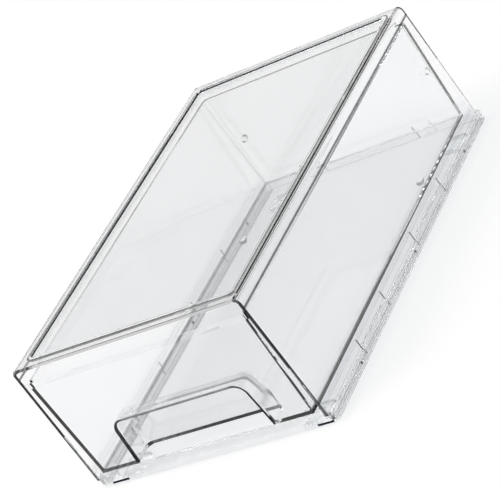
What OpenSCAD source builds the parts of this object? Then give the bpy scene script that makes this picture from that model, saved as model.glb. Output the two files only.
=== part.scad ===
// Stackable clear drawer box.
// A moulded cabinet shell with a sunken top panel, a base tray that snaps into its open underside,
// a drafted drawer with a moulded finger pull, and four pad feet that drop into the sunken top of
// the box below. The front faces -Y, the feet stand on z = 0 and the origin is under the middle.

/* [Cabinet shell] */
// Outer width across the top of the shell
shell_w = 203; // [185:1:225]
// Outer depth along the top of the shell, from the mouth to the back
shell_d = 335; // [300:1:370]
// Height from the underside of the base tray to the top of the shell
box_h = 111; // [104:1:140]
// Wall thickness of the shell
shell_wall = 2.6; // [2.2:0.1:3]
// Outside radius of the shell's top and rear edges
edge_r = 4.8; // [4.2:0.1:5.4]
// Mould draft of the shell's sides and back, in degrees
shell_draft = 0.8; // [0.5:0.1:1]

/* [Stacking top] */
// Width of the level border round the sunken top panel
border_w = 10.4; // [9:0.1:13]
// Depth of the sunken top panel below the border
sunk_depth = 2.4; // [2:0.1:4]
// Corner radius of the sunken top panel
sunk_r = 4; // [3:0.5:8]
// Radius between the sunken panel and the border's inner wall
sunk_fillet = 0.8; // [0.5:0.1:1.2]

/* [Base tray] */
// How far the base tray stands proud of the shell's lower edge
base_lip = 1.6; // [1.4:0.1:2.4]
// Set-back of the tray's front wall behind the mouth
base_setback = 1.1; // [0.8:0.1:2]
// Thickness of the tray's floor
floor_t = 2.2; // [1.8:0.1:2.6]
// Thickness of the tray's front wall
front_wall_t = 2.2; // [1.8:0.1:3]
// Height of the tray's front wall above the underside of the tray
front_wall_h = 11.6; // [10.5:0.1:12]
// Height of the skirt that wraps the shell's lower edge
skirt_h = 7.8; // [7:0.1:9]
// Corner radius of the tray in plan
base_corner_r = 4; // [3:0.5:5]
// Clearance on each face between the shell's wall and the tray
snap_gap = 0.25; // [0.2:0.05:0.35]

/* [Drawer rails] */
// Height of the rails above the underside of the tray
rail_h = 12.3; // [12.2:0.1:14]
// Width of the ledge that each side of the drawer slides on
rail_w = 14; // [12:0.5:18]
// Wall thickness of the hollow rails
rail_wall = 2; // [1.6:0.1:2.4]
// Gap between the rails and the drawer's underside
slide_gap = 0.3; // [0.2:0.05:0.5]

/* [Snap tabs] */
// Length of the front snap tab on each side
front_tab = 49; // [30:1:60]
// Length of the rear snap tab on each side
rear_tab = 61; // [30:1:80]
// Width of the two snap tabs at the back
back_tab = 15; // [12:0.5:20]
// Distance from the mouth to the front tab
front_tab_y = 67; // [62:1:90]
// Distance from the mouth to the rear tab
rear_tab_y = 182; // [178:1:205]
// Distance from the middle of the box to the middle of each tab at the back
back_tab_x = 52.5; // [30:0.5:70]
// Width of the slits that free the tabs
slit_w = 1; // [0.6:0.1:1.4]
// Height of the slits above the underside of the tray
slit_h = 15.5; // [12:0.5:20]
// Extra height of the skirt beside each tab
skirt_rise = 2.6; // [1.5:0.1:3]
// Diameter of the round snap pips on the shell
pip_d = 2.4; // [2:0.1:2.6]
// Distance from the mouth to the first pip
pip_first = 56; // [50:1:60]
// Distance between pips along the sides
pip_pitch = 117; // [105:1:120]
// Height of the pips above the underside of the tray
pip_z = 3.8; // [3.8:0.1:4.6]

/* [Drawer] */
// Clearance between the drawer's rim and the shell's sides and back
drawer_gap = 2.2; // [1.5:0.1:6]
// Clearance between the drawer's rim and the underside of the sunken panel
drawer_top_gap = 8; // [2:0.1:16]
// Wall thickness of the drawer
drawer_wall = 2.2; // [1.8:0.1:2.6]
// Outside radius of the drawer's lower and rear edges
drawer_r = 0.8; // [0.4:0.1:3]
// Inside radius of the drawer's lower and rear corners
drawer_in_r = 1.5; // [1:0.1:6]
// Mould draft of the drawer's sides and back, in degrees
drawer_draft = 1.8; // [1:0.1:2]
// Set-back of the drawer's front panel behind the mouth
drawer_setback = 0.6; // [0.4:0.1:1]
// How far the drawer travels before its lugs meet the tray's front wall
travel = 245; // [200:1:260]
// Drop of the stop lugs below the drawer's underside
lug_drop = 2.6; // [2:0.1:3]

/* [Finger pull] */
// Width of the finger pull across its top
pull_w = 113.6; // [90:0.2:130]
// Height of the finger pull above the drawer's underside
pull_h = 36; // [30:0.5:45]
// Depth of the finger pull at its top, behind the front panel's face
pull_d = 13.5; // [12:0.5:18]
// Radius of the finger pull's arched corners
pull_r = 8; // [6:0.5:12]
// Radius between the finger pull's roof and its rear wall
pull_fillet = 2.5; // [1.5:0.5:5]
// Plan radius of the finger pull's rear corners at its open underside
pull_corner = 6; // [4:0.5:10]
// Lean of the rear wall, which makes the finger pull deeper towards its open underside, in degrees
pull_lean = 7.5; // [4:0.5:9]
// Splay of the finger pull's sides towards its open underside, in degrees
pull_splay = 5; // [2:0.5:8]

/* [Feet] */
// Height of the feet below the tray
foot_h = 3; // [2.6:0.1:3.4]
// Side length of each foot
foot_w = 18; // [14:0.5:22]
// Depth of the seats that hold the feet
foot_seat = 0.6; // [0.4:0.1:0.8]
// Clearance between the feet and the sunken panel of the box below
nest_gap = 0.7; // [0.5:0.1:1]

/* [Hidden] */

$fn = 64;
over = 1;                                  // how far a cutter runs past the face it opens
weld = 0.01;                               // how far a straight run ends inside the arc that it meets

// Heights
tray_z = foot_h;                           // underside of the tray
floor_z = tray_z + floor_t;                // top of the tray's floor, where the shell stands
skirt_z = tray_z + skirt_h;
rail_z = tray_z + rail_h;
drawer_z = rail_z + slide_gap;             // underside of the drawer
shell_z = tray_z + box_h;                  // top of the shell
shell_h = shell_z - floor_z;
drawer_h = shell_z - sunk_depth - shell_wall - drawer_top_gap - drawer_z;
mouth_notch_z = skirt_z + snap_gap;        // the shell's sides stop here above the tray's front wall
slit_z = tray_z + slit_h;

// Mould sizes are whole hundredths of a millimetre
function hundredths(size) = round(size * 100) / 100;
function flare(drop, draft) = hundredths(max(0, drop) * tan(draft));

// Reach of the shell's drafted walls at a height z
function shell_flare(z) = flare(shell_z - edge_r - z, shell_draft);
function shell_half(z) = shell_w / 2 + shell_flare(z);
function shell_back(z) = shell_d + shell_flare(z);

// The drawer's rim keeps its clearance to the shell; its width and depth are those of its underside
rim_flare = flare(drawer_h - drawer_r, drawer_draft);
drawer_w = shell_w - 2 * (shell_wall + drawer_gap + rim_flare);
drawer_d = shell_d - shell_wall - drawer_gap - rim_flare - drawer_setback;
function drawer_back(z) = drawer_setback + drawer_d + flare(z - drawer_z - drawer_r, drawer_draft);

// The tray in plan
base_half = shell_half(floor_z) + base_lip;
base_back = shell_back(floor_z) + base_lip;
front_wall_back = base_setback + front_wall_t;
channel_half = shell_half(floor_z) + snap_gap;
channel_back = shell_back(floor_z) + snap_gap;
channel_r = edge_r + shell_flare(floor_z) + snap_gap;
inner_half = shell_half(shell_z) - shell_wall - snap_gap;
inner_back = shell_back(shell_z) - shell_wall - snap_gap;
mid_y = hundredths(base_back / 2);         // middle of the whole box, which spans y = 0 to base_back

// The rails
rail_in = inner_half - rail_w;
rail_length = inner_back - front_wall_back;

// The snap tabs on each side, start and length, and the pips
tabs = [[front_tab_y, front_tab], [rear_tab_y, rear_tab]];
pip_reach = base_lip - snap_gap;
pip_facets = 24;

// The rear upstand's dip
dip_w = 45.4;
dip_z = tray_z + 8;                        // bottom of the dip

// The sunken panel and the feet that fit it
sunk_half = shell_w / 2 - border_w;
foot_half = sunk_half - nest_gap;
foot_front = border_w + nest_gap;
foot_back = shell_d - border_w - nest_gap;
foot_r = sunk_r - nest_gap;

// Rear buffers and stop lugs
buffer_d = 5;
buffer_x = drawer_w / 2 - 1.5 * buffer_d;
buffer_z = drawer_z + drawer_h / 2;
close_gap = 0.3;
buffer_y = drawer_back(buffer_z) + close_gap;
lug_w = 5;
lug_x = rail_in - slide_gap - lug_w / 2;   // the lugs run beside the rails
lug_tip = 1.6;
lug_ramp = 6;
stop_gap = 0.3;
lug_y = front_wall_back + travel + stop_gap;

clear_plastic = [0.86, 0.91, 0.94, 0.35];
clear_rubber = [0.80, 0.84, 0.86, 0.6];

// Moves a piece drawn from the mouth backwards so that the box is centred on the origin.
module centred() {
    translate([0, -mid_y, 0]) children();
}

// Rectangle in plan with rounded corners, from its half width and its front and back.
module plan(half, front, back, r) {
    translate([-half, front + r]) square([2 * half, back - front - 2 * r]);
    translate([r - half, front]) square([2 * (half - r), back - front]);
    for (x = [r - half, half - r], y = [front + r, back - r])
        translate([x, y]) circle(r);
}

// Section of a drafted wall under a rounded shoulder, from the shoulder's centre outwards.
module wall_section(r, drop, draft) {
    polygon([[0, -drop], [r + flare(drop, draft), -drop], [r, 0], [0, 0]]);
    intersection() {
        circle(r);
        square(r);
    }
}

// Drafted form of a moulding, with its flat end at y = 0: r is the radius of its rear corners and
// of its shoulder, and its walls grow downwards at the draft angle. half and length are measured
// at the shoulder.
module moulding(half, length, h, r, draft) {
    core_x = half - r;
    core_y = length - r;
    drop = h - r;
    translate([0, 0, drop]) {
        translate([-core_x, 0, -drop]) cube([2 * core_x, core_y, h]);
        translate([-core_x, core_y, 0]) rotate([90, 0, 90]) linear_extrude(2 * core_x)
            wall_section(r, drop, draft);
        for (side = [0, 1])
            mirror([side, 0, 0]) translate([core_x, core_y, 0]) {
                rotate([90, 0, 0]) linear_extrude(core_y) wall_section(r, drop, draft);
                rotate_extrude(angle = 90) wall_section(r, drop, draft);
            }
    }
}

// Section of a dish's rim, outwards from the centre of its corner in plan.
module rim_section(corner_r, r, h) {
    square([corner_r - r, h]);
    translate([corner_r - r, h - r]) wall_section(r, h - r, 0);
}

// Form of an upturned dish: corner_r is the radius of its corners in plan and r that of its edge.
module dish(half, front, back, h, corner_r, r) {
    core_x = half - corner_r;
    run = back - front - 2 * corner_r;
    translate([0, (front + back) / 2, 0]) {
        translate([-core_x, -run / 2, 0]) cube([2 * core_x, run, h]);
        for (side = [0, 1]) {
            mirror([side, 0, 0]) translate([core_x, run / 2, 0]) rotate([90, 0, 0])
                linear_extrude(run) rim_section(corner_r, r, h);
            mirror([0, side, 0]) translate([-core_x, run / 2, 0]) rotate([90, 0, 90])
                linear_extrude(2 * core_x) rim_section(corner_r, r, h);
        }
        for (side = [0, 1], end = [0, 1])
            mirror([side, 0, 0]) mirror([0, end, 0]) translate([core_x, run / 2, 0])
                rotate_extrude(angle = 90) rim_section(corner_r, r, h);
    }
}

// The sunken panel's form, from its floor up past h; grow is the wall to add for its underside and
// r the radius along its floor.
module sunken_form(grow, r, h) {
    inset = border_w - grow;
    translate([0, 0, shell_z - sunk_depth - grow + h]) mirror([0, 0, 1])
        dish(sunk_half + grow, inset, shell_d - inset, h, sunk_r + grow, r);
}

// Puts its children at each snap pip along both sides and the back, with +Z outwards.
module at_pips() {
    for (side = [-1, 1], i = [0:2])
        translate([side * shell_half(tray_z + pip_z), pip_first + i * pip_pitch, tray_z + pip_z])
            rotate([0, side * 90, 0]) children();
    for (side = [-1, 1])
        translate([side * back_tab_x, shell_back(tray_z + pip_z), tray_z + pip_z])
            rotate([-90, 0, 0]) children();
}

// A round-ended snap pip.
module pip() {
    r = pip_d / 2;
    translate([0, 0, pip_reach - r]) rotate_extrude() wall_section(r, pip_reach - r + over / 2, 0);
}

// The slits at both ends of every snap tab, through the shell's walls.
module tab_slits() {
    reach = base_half - shell_w / 2 + shell_wall + 2 * over;
    for (side = [0, 1])
        mirror([side, 0, 0]) {
            for (tab = tabs, y = [tab.x - slit_w, tab.x + tab.y])
                translate([shell_w / 2 - shell_wall - over, y, floor_z - over])
                    cube([reach, slit_w, slit_z - floor_z + over]);
            for (x = [back_tab_x - back_tab / 2 - slit_w, back_tab_x + back_tab / 2])
                translate([x, shell_d - shell_wall - over, floor_z - over])
                    cube([slit_w, reach, slit_z - floor_z + over]);
        }
}

// Clear cover: top, sides and back in one moulding, open at the front and underneath.
module cabinet_shell() {
    color(clear_plastic) centred() difference() {
        union() {
            difference() {
                translate([0, 0, floor_z])
                    moulding(shell_w / 2, shell_d, shell_h, edge_r, shell_draft);
                translate([0, -over, floor_z - over])
                    moulding(shell_w / 2 - shell_wall, shell_d - shell_wall + over,
                             shell_h - shell_wall + over, edge_r - shell_wall, shell_draft);
            }
            // The sunken panel keeps the wall's thickness by stepping down inside as well
            sunken_form(shell_wall, shell_wall, sunk_depth + shell_wall / 2);
            at_pips() pip($fn = pip_facets);
            // Buffers that the drawer's back closes against
            for (side = [-1, 1])
                translate([side * buffer_x, buffer_y, buffer_z]) rotate([-90, 0, 0])
                    cylinder(d = buffer_d, h = shell_back(buffer_z) - shell_wall / 2 - buffer_y);
        }
        sunken_form(0, sunk_fillet, sunk_depth + over);
        tab_slits();
        // The side walls stop above the tray's front wall
        translate([-base_half, -over, 0])
            cube([2 * base_half, front_wall_back + snap_gap + over, mouth_notch_z]);
    }
}

// The cavity inside one hollow rail, open below.
module rail_core() {
    translate([rail_in + rail_wall, front_wall_back + rail_wall, tray_z - over])
        cube([rail_w - 2 * rail_wall, rail_length - 2 * rail_wall, rail_z - rail_wall - tray_z + over]);
}

// A foot in plan; end is -1 at the front and 1 at the rear.
module foot_plan(side, end, grow) {
    near = end < 0 ? foot_front : foot_back - foot_w;
    translate([side * (foot_half - foot_w / 2), 0])
        plan(foot_w / 2 + grow, near - grow, near + foot_w + grow, foot_r + grow);
}

// Base tray: floor, front wall, a skirt that wraps the shell's lower edge, rear upstand and rails.
module base_tray() {
    color(clear_plastic) centred() difference() {
        union() {
            difference() {
                translate([0, 0, tray_z]) linear_extrude(skirt_h)
                    plan(base_half, base_setback, base_back, base_corner_r);
                translate([0, 0, floor_z]) linear_extrude(skirt_h) {
                    plan(channel_half, front_wall_back, channel_back, channel_r);
                    // Square at the front, where the shell's side walls end
                    translate([-channel_half, front_wall_back]) square([2 * channel_half, 2 * channel_r]);
                }
            }
            // The skirt rises beside each snap tab
            for (side = [0, 1])
                mirror([side, 0, 0]) {
                    for (tab = tabs)
                        translate([channel_half, tab.x, floor_z])
                            cube([base_half - channel_half, tab.y, skirt_z + skirt_rise - floor_z]);
                    translate([back_tab_x - back_tab / 2, channel_back, floor_z])
                        cube([back_tab, base_back - channel_back, skirt_z + skirt_rise - floor_z]);
                }
            // Front wall between the shell's sides, and the rear upstand with its dip
            translate([-inner_half, base_setback, tray_z])
                cube([2 * inner_half, front_wall_t, front_wall_h]);
            difference() {
                translate([-rail_in - rail_wall, inner_back - rail_wall, floor_z])
                    cube([2 * (rail_in + rail_wall), rail_wall, rail_z - floor_z]);
                translate([-dip_w / 2, inner_back - rail_wall - over, dip_z])
                    cube([dip_w, rail_wall + 2 * over, rail_z]);
            }
            for (side = [0, 1])
                mirror([side, 0, 0]) translate([rail_in, front_wall_back, floor_z])
                    cube([rail_w, rail_length, rail_z - floor_z]);
        }
        for (side = [0, 1])
            mirror([side, 0, 0]) rail_core();
        at_pips() translate([0, 0, -over])
            cylinder(d = pip_d + 2 * snap_gap, h = base_lip + 2 * over);
        for (side = [-1, 1], end = [-1, 1])
            translate([0, 0, tray_z - over]) linear_extrude(foot_seat + over)
                foot_plan(side, end, snap_gap);
    }
}

// Profile from x = -over to a leaning side, with its sharp top corner at [reach, top] rounded to r.
// It runs as far below y = 0 as it stands above it.
module leaning_profile(reach, top, r, lean) {
    centre = [hundredths(reach + r * tan(lean) - r / cos(lean)), top - r];
    polygon([[-over, -top], [reach + 2 * top * tan(lean), -top],
             centre + (r - weld) * [cos(lean), sin(lean)], [centre.x, top], [-over, top]]);
    translate(centre) circle(r);
}

// The finger pull's form: its arched front, its leaning rear wall and its plan, each extruded
// through the others; grow is the wall to add for its outside.
module pull_form(grow) {
    half = pull_w / 2 + grow;
    top = pull_h + grow;
    drop = pull_h + over;
    rear = pull_d + grow + flare(drop, pull_lean);
    translate([0, drawer_setback, drawer_z]) intersection() {
        translate([0, 2 * rear, 0]) rotate([90, 0, 0]) linear_extrude(2 * rear + over)
            for (side = [0, 1])
                mirror([side, 0]) leaning_profile(half, top, pull_r + grow, pull_splay);
        translate([-pull_w, 0, 0]) rotate([90, 0, 90]) linear_extrude(2 * pull_w)
            leaning_profile(pull_d + grow, top, pull_fillet + grow, pull_lean);
        translate([0, 0, -top]) linear_extrude(3 * top)
            plan(half + flare(drop, pull_splay), -rear, rear, pull_corner + grow);
    }
}

// A stop lug under the drawer: upright towards the front, ramped behind.
module stop_lug() {
    translate([-lug_w / 2, lug_y, drawer_z]) rotate([90, 0, 90]) linear_extrude(lug_w)
        polygon([[0, over], [0, -lug_drop], [lug_tip, -lug_drop], [lug_ramp, 0], [lug_ramp, over]]);
}

// Drawer: a drafted tub with a flat front panel and a finger pull moulded into its lower edge.
module drawer() {
    top_z = drawer_z + drawer_h;
    color(clear_plastic) centred() difference() {
        union() {
            difference() {
                translate([0, drawer_setback, top_z]) mirror([0, 0, 1])
                    moulding(drawer_w / 2, drawer_d, drawer_h, drawer_r, drawer_draft);
                translate([0, drawer_setback + drawer_wall, top_z + over]) mirror([0, 0, 1])
                    moulding(drawer_w / 2 - drawer_wall, drawer_d - 2 * drawer_wall,
                             drawer_h - drawer_wall + over, drawer_in_r, drawer_draft);
            }
            intersection() {
                pull_form(drawer_wall);
                translate([-drawer_w / 2, drawer_setback, drawer_z]) cube([drawer_w, drawer_d, drawer_h]);
            }
            for (side = [-1, 1])
                translate([side * lug_x, 0, 0]) stop_lug();
        }
        pull_form(0);
    }
}

// A clear pad foot, seated in the tray's underside.
module foot(side, end) {
    color(clear_rubber) centred() linear_extrude(foot_h + foot_seat) foot_plan(side, end, 0);
}

cabinet_shell();
base_tray();
drawer();
foot(-1, -1);  // front_left_foot
foot(1, -1);  // front_right_foot
foot(-1, 1);  // rear_left_foot
foot(1, 1);  // rear_right_foot
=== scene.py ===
"""Looks of the clear stackable drawer box: camera, studio and the clear moulded plastics."""

import math

import bpy
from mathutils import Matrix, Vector


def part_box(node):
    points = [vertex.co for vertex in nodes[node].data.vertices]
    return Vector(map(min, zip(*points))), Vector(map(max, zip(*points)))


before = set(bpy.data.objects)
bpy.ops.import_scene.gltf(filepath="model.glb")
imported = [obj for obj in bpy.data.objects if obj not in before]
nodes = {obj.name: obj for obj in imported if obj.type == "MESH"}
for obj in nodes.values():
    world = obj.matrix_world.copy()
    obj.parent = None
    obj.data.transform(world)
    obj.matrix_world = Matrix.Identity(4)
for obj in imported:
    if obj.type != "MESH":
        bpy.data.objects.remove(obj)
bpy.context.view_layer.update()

MM_PER_M = 1000.0

# Camera, at the photograph's viewing angle (metres, degrees, millimetres)
CAMERA_PLACE = (1.0161, -1.1959, 0.6923)
CAMERA_TURN = (63.081, 33.836, 24.892)
CAMERA_LENS = 172.98
SENSOR = 36.0

# Studio dome: brightness at each height of the direction's unit vector
DOME = ((0.1, 1.0), (0.42, 0.5), (0.62, 0.0))

# Distant soft lamp: the place it shines from (metres), its width in the sky (degrees), strength
KEY_PLACE = (-0.8, -0.9, 1.6)
KEY_SPREAD = 25
KEY_STRENGTH = 2.1

# Floor: half its width (metres), its paint, and its own light for the rays that show it,
# over which the shadow lies
FLOOR_REACH = 8.0
FLOOR_WHITE = (0.9, 0.9, 0.9, 1)
FLOOR_GLOW = 0.372

# Clear plastics: tint, refraction, and a faint procedural cloud in the tint
CLEAR = (0.982, 0.984, 0.987)
TRAY_TINT = (0.945, 0.952, 0.958)
FOOT_TINT = (0.90, 0.92, 0.93)
PLASTIC_IOR = 1.55
FOOT_IOR = 1.2
CLOUD_SCALE = 14.0
CLOUD_DETAIL = 2.0
CLOUD_SHADES = (0.985, 1.015)

# Painted shade: the near black of the dark lines drawn where clear edges look dark, and what is
# left of the light that crosses one face to the floor
PAINTED_EDGE_SHADE = (0.008, 0.013, 0.02, 1)
SHADOW_TINT = (0.972, 0.974, 0.976, 1)

# Places on the box (millimetres)
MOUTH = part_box("cabinet_shell")[0][1] * MM_PER_M
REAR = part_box("cabinet_shell")[1][1] * MM_PER_M
DRAWER_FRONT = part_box("drawer")[0][1] * MM_PER_M
DRAWER_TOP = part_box("drawer")[1][2] * MM_PER_M

# Lean of the shell's side walls (degrees)
DRAFT = 0.8

# Finger pull: half width at its top edge, that edge's height, corner radius (millimetres) and
# splay of its sides (degrees)
PULL = {"half": 56.8, "top": 51.6, "radius": 8, "splay": 5}

scene = bpy.context.scene
scene.view_settings.view_transform = "Standard"


class Graph:
    """Short hand for building a node tree."""

    def __init__(self, tree):
        self.tree = tree
        tree.nodes.clear()

    def node(self, kind, **inputs):
        n = self.tree.nodes.new(kind)
        for name, value in inputs.items():
            self.set(n, name.replace("_", " "), value)
        return n

    def set(self, n, name, value):
        socket = n.inputs[name]
        if isinstance(value, bpy.types.NodeSocket):
            self.tree.links.new(value, socket)
        else:
            socket.default_value = value

    def math(self, operation, *values):
        n = self.tree.nodes.new("ShaderNodeMath")
        n.operation = operation
        for i, value in enumerate(values):
            self.set(n, i, value)
        return n.outputs[0]

    def scale(self, vector, factor):
        n = self.node("ShaderNodeVectorMath")
        n.operation = "SCALE"
        self.set(n, 0, vector)
        self.set(n, "Scale", factor)
        return n.outputs[0]

    def join(self, kind, *values):
        """A node that joins shaders, with its inputs in their order."""
        n = self.tree.nodes.new(kind)
        for i, value in enumerate(values):
            self.set(n, i, value)
        return n.outputs[0]

    def product(self, *values):
        out = values[0]
        for value in values[1:]:
            out = self.math("MULTIPLY", out, value)
        return out

    def most(self, *values):
        out = values[0]
        for value in values[1:]:
            out = self.math("MAXIMUM", out, value)
        return out

    def step(self, value, low, high):
        """0 where value is low and 1 where it is high, with a smooth change between."""
        n = self.tree.nodes.new("ShaderNodeMapRange")
        n.interpolation_type = "SMOOTHSTEP"
        self.set(n, "Value", value)
        self.set(n, "From Min", low)
        self.set(n, "From Max", high)
        return n.outputs[0]

    def band(self, value, centre, half, soft):
        """1 within half of centre, falling to 0 over soft."""
        away = self.math("ABSOLUTE", self.math("SUBTRACT", value, centre))
        return self.step(away, half + soft, half)

    def streaks(self, z, *lines):
        """Fine level lines, each given as its height and half its width."""
        return self.most(*(self.band(z, centre, half, 0.3) for centre, half in lines))

    def mark(self, share, *masks):
        """A mark of strength share where all of the masks are 1."""
        return self.product(*masks, share)

    def rest_place(self):
        """Place on the piece at rest, as a vector in metres."""
        return self.node("ShaderNodeTexCoord").outputs["Object"]

    def place(self):
        """Place on the piece at rest in millimetres: x, y, z, and how far it is to either side."""
        at = self.scale(self.rest_place(), MM_PER_M)
        x, y, z = self.node("ShaderNodeSeparateXYZ", Vector=at).outputs
        return x, y, z, self.math("ABSOLUTE", x)

    def facing_ends(self):
        """1 where the surface faces the front or the rear, 0 where it faces away from both."""
        normal = self.node("ShaderNodeNewGeometry").outputs["True Normal"]
        along = self.node("ShaderNodeSeparateXYZ", Vector=normal).outputs["Y"]
        return self.math("ABSOLUTE", along)

    def arch(self, side, z, half, top, radius, splay):
        """Distance from the outline of an arch with splayed sides and rounded corners, negative
        inside."""
        cos, sin = math.cos(math.radians(splay)), math.sin(math.radians(splay))
        across = self.math("MULTIPLY_ADD", side, cos, radius - half * cos)
        across = self.math("MULTIPLY_ADD", z, sin, self.math("SUBTRACT", across, top * sin))
        up = self.math("SUBTRACT", z, top - radius)
        round_x, round_z = self.most(across, 0.0), self.most(up, 0.0)
        squares = self.math("ADD", self.product(round_x, round_x), self.product(round_z, round_z))
        inner = self.math("MINIMUM", self.most(across, up), 0.0)
        reach = self.math("ADD", inner, self.math("SQRT", squares))
        return self.math("SUBTRACT", reach, radius)


def add_camera():
    data = bpy.data.cameras.new("camera")
    data.sensor_width = SENSOR
    data.lens = CAMERA_LENS
    camera = bpy.data.objects.new("camera", data)
    camera.location = CAMERA_PLACE
    camera.rotation_euler = [math.radians(a) for a in CAMERA_TURN]
    scene.collection.objects.link(camera)
    scene.camera = camera


def add_world():
    """Dome, white near the horizon and dark overhead, which gives clear plastic its edges."""
    world = bpy.data.worlds.new("studio")
    scene.world = world
    world.use_nodes = True
    g = Graph(world.node_tree)
    direction = g.node("ShaderNodeTexCoord").outputs["Generated"]
    up = g.node("ShaderNodeSeparateXYZ", Vector=direction).outputs["Z"]
    ramp = g.node("ShaderNodeValToRGB", Fac=up)
    stops = ramp.color_ramp.elements
    while len(stops) < len(DOME):
        stops.new(0.5)  # between the two that a ramp starts with
    for stop, (height, light) in zip(stops, DOME):
        stop.position = height
        stop.color = (light, light, light, 1)
    dome = g.node("ShaderNodeBackground", Color=ramp.outputs["Color"], Strength=1.0)
    g.node("ShaderNodeOutputWorld", Surface=dome.outputs[0])


def new_material(name):
    material = bpy.data.materials.new(name)
    material.use_nodes = True
    return material, Graph(material.node_tree)


def seen_directly(g):
    """1 for camera, glossy and transmission rays."""
    path = g.node("ShaderNodeLightPath").outputs
    return g.most(path["Is Camera Ray"], path["Is Glossy Ray"], path["Is Transmission Ray"])


def add_floor():
    """White floor: its matt paint takes the shadow, and its glow makes it white to look at."""
    mesh = bpy.data.meshes.new("floor")
    far = FLOOR_REACH
    corners = [(-far, -far, 0), (far, -far, 0), (far, far, 0), (-far, far, 0)]
    mesh.from_pydata(corners, [], [(0, 1, 2, 3)])
    floor = bpy.data.objects.new("floor", mesh)
    scene.collection.objects.link(floor)
    material, g = new_material("floor_white")
    paint = g.node("ShaderNodeBsdfDiffuse", Color=FLOOR_WHITE)
    light = g.product(seen_directly(g), FLOOR_GLOW)
    glow = g.node("ShaderNodeEmission", Color=(1, 1, 1, 1), Strength=light)
    both = g.join("ShaderNodeAddShader", paint.outputs[0], glow.outputs[0])
    g.node("ShaderNodeOutputMaterial", Surface=both)
    mesh.materials.append(material)


def add_key_light():
    """Distant lamp, so that the floor is lit evenly, and a wide one, for soft shadows."""
    data = bpy.data.lights.new("key", "SUN")
    data.angle = math.radians(KEY_SPREAD)
    data.energy = KEY_STRENGTH
    lamp = bpy.data.objects.new("key", data)
    lamp.location = KEY_PLACE
    lamp.rotation_euler = Vector(KEY_PLACE).to_track_quat("Z", "Y").to_euler()
    scene.collection.objects.link(lamp)


def clear_plastic(name, tint, painted_shade_and_see_through, ior=PLASTIC_IOR):
    """Clear moulding. The function passed in gives where dark lines of painted shade go and where
    it lets the view straight through.

    Shadow rays and the floor's bounced light cross it straight, so that its shadow is even.
    """
    material, g = new_material(name)
    painted_shade_lines, thin = painted_shade_and_see_through(g)
    cloud = g.node("ShaderNodeTexNoise", Vector=g.rest_place(), Scale=CLOUD_SCALE,
                   Detail=CLOUD_DETAIL).outputs[0]
    low, high = CLOUD_SHADES
    shade = g.node("ShaderNodeMapRange", Value=cloud, To_Min=low, To_Max=high).outputs[0]
    body = g.scale(tint, shade)
    skin = g.node("ShaderNodeBsdfPrincipled", Base_Color=body, Transmission_Weight=1.0,
                  Roughness=0.0, IOR=ior)
    # the square root of the tint, as such a ray crosses two faces of a wall
    one_face = g.node("ShaderNodeGamma", Color=body, Gamma=0.5).outputs[0]
    see_through = g.node("ShaderNodeBsdfTransparent", Color=one_face)
    # painted shade: a near-black matt layer mixed in along the drawn edge lines
    edge_shade_paint = g.node("ShaderNodeBsdfDiffuse", Color=PAINTED_EDGE_SHADE)
    shadow = g.node("ShaderNodeBsdfTransparent", Color=SHADOW_TINT)
    path = g.node("ShaderNodeLightPath").outputs
    floor_light = g.most(path["Is Shadow Ray"], path["Is Diffuse Ray"])
    shader = skin.outputs[0]
    for share, other in ((thin, see_through), (painted_shade_lines, edge_shade_paint), (floor_light, shadow)):
        shader = g.join("ShaderNodeMixShader", share, shader, other.outputs[0])
    g.node("ShaderNodeOutputMaterial", Surface=shader)
    return material


def shell_painted_shade(g):
    """Painted shade lines round the mouth's end face, along the foot of the rounded shoulder and
    round the sunken panel, and low on the side walls a faint grey band, level lines and dark pips,
    all painted shade."""
    x, y, z, side = g.place()
    upright = g.math("MULTIPLY_ADD", z, math.tan(math.radians(DRAFT)), side)
    outer_face = g.step(upright, 102.2, 102.5)

    # dark lines of painted shade round the mouth, along the shoulder and round the panel
    end_face = g.step(y, MOUTH + 0.2, MOUTH + 0.1)
    in_wall = g.step(upright, 101.6, 101.9)
    under_top = g.step(z, 110, 109)
    mouth = g.mark(0.6, end_face, in_wall, under_top)

    shoulder = g.mark(0.75, g.band(z, 105.7, 0.7, 0.4), outer_face)

    panel_wall = g.band(z, 112.5, 0.45, 0.25)
    within_border = g.product(g.step(side, 96, 95), g.step(y, MOUTH + 13, MOUTH + 15),
                              g.step(y, REAR - 6, REAR - 7))
    off_right_wall = g.step(x, 88, 84)
    panel = g.mark(0.95, panel_wall, within_border, off_right_wall)

    # painted shade low on the outer face: a faint grey band, level dark lines and pips painted
    # dark
    painted_grey_band = g.mark(0.11, g.step(z, 21.5, 20.0), outer_face)
    streaks = g.mark(0.3, g.streaks(z, (12.4, 0.2), (17.0, 0.1)), outer_face)
    pips = g.mark(0.9, g.step(z, 9.0, 8.5), g.step(upright, 103.5, 103.7))
    return g.most(mouth, shoulder, panel, painted_grey_band, streaks, pips), 0.0


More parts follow.
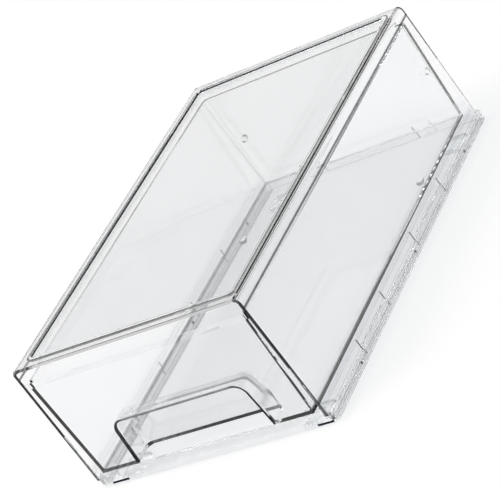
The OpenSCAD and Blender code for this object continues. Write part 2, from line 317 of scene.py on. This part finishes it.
def tray_painted_shade(g):
    """Painted shade: level lines along the skirt, a dash at each front corner and a faint trace on
    the rails' tops. The floor and the rails let the view through, and the front wall and the skirt
    do in part."""
    x, y, z, side = g.place()
    # painted shade: a faint trace on the rails' tops and dark level lines along the skirt
    rail_tops = g.mark(0.04, g.step(z, 14.8, 15.1))
    skirt_face = g.step(side, 103.5, 103.8)
    streaks = g.mark(0.4, g.streaks(z, (4.9, 0.2), (8.2, 0.2)), skirt_face)

    # dashes of painted shade low on the front face near each corner
    # the photo's two dashes aren't mirror images of each other
    front_face = g.step(y, MOUTH + 1.8, MOUTH + 1.5)
    corners = g.most(g.band(x, -85.5, 7.5, 0.5), g.band(x, 96, 6.5, 0.5))
    dashes = g.product(front_face, g.band(z, 5.4, 0.7, 0.3), corners)

    inside = g.product(g.step(side, 99.4, 99.0), g.step(y, MOUTH + 7, MOUTH + 8))
    front_wall = g.mark(0.85, g.step(y, MOUTH + 8, MOUTH + 7), g.step(z, 6.5, 5.5))
    elsewhere = 0.35
    return g.most(rail_tops, streaks, dashes), g.most(inside, front_wall, elsewhere)


def drawer_painted_shade(g):
    """Painted shade lines round the finger pull and along the lower side edges. The front panel's
    rim and the pull's lip let the view through."""
    x, y, z, side = g.place()
    from_pull = g.arch(side, z, **PULL)

    # painted shade: a dark line round the pull's outline on the front face, paler at its top
    front_face = g.step(y, DRAWER_FRONT + 2.0, DRAWER_FRONT + 1.6)
    outline = g.band(from_pull, 0.5, 1.1, 0.3)
    paler_top = g.math("SUBTRACT", 1.0, g.mark(0.35, g.step(side, 52, 46)))
    pull = g.mark(0.95, front_face, outline, paler_top)

    # painted shade: a dark line along the lower side edges
    # in full on the right, as the photo has it, and faint on the left
    right_or_faint = g.most(g.step(x, -1, 1), 0.15)
    low = g.product(g.step(z, 17.3, 17.0), g.step(side, 92.9, 93.3), right_or_faint)

    rim = g.product(g.step(z, DRAWER_TOP - 5.5, DRAWER_TOP - 5),
                    g.step(y, DRAWER_FRONT + 0.3, DRAWER_FRONT + 0.5),
                    g.step(y, DRAWER_FRONT + 4, DRAWER_FRONT + 3))

    round_pull = g.band(from_pull, 0.0, 3.5, 0.5)
    behind_face = g.product(g.step(y, DRAWER_FRONT + 2.4, DRAWER_FRONT + 2.8),
                            g.step(y, DRAWER_FRONT + 30, DRAWER_FRONT + 28))
    lip = g.mark(0.8, round_pull, behind_face, g.step(z, 26, 34))
    return g.most(pull, low), g.most(rim, lip)


def foot_painted_shade(g):
    """Painted shade: the front and rear faces are painted a little darker, and all faces are
    partly see-through.
    """
    return g.mark(0.25, g.step(g.facing_ends(), 0.6, 0.8)), 0.3


def dress(node, material):
    piece = nodes[node]
    piece.data.materials.clear()
    piece.data.materials.append(material)
    for polygon in piece.data.polygons:
        polygon.material_index = 0


add_camera()
add_world()
add_floor()
add_key_light()

dress("cabinet_shell", clear_plastic("shell_clear", CLEAR, shell_painted_shade))
dress("base_tray", clear_plastic("tray_clear", TRAY_TINT, tray_painted_shade))
dress("drawer", clear_plastic("drawer_clear", CLEAR, drawer_painted_shade))
pad = clear_plastic("foot_clear", FOOT_TINT, foot_painted_shade, ior=FOOT_IOR)
for node in nodes:
    if node.endswith("_foot"):
        dress(node, pad)

# enough bounces for rays that cross the walls of shell, drawer and tray one after another
scene.cycles.max_bounces = 40
scene.cycles.transmission_bounces = 40
scene.cycles.glossy_bounces = 24
scene.cycles.transparent_max_bounces = 40
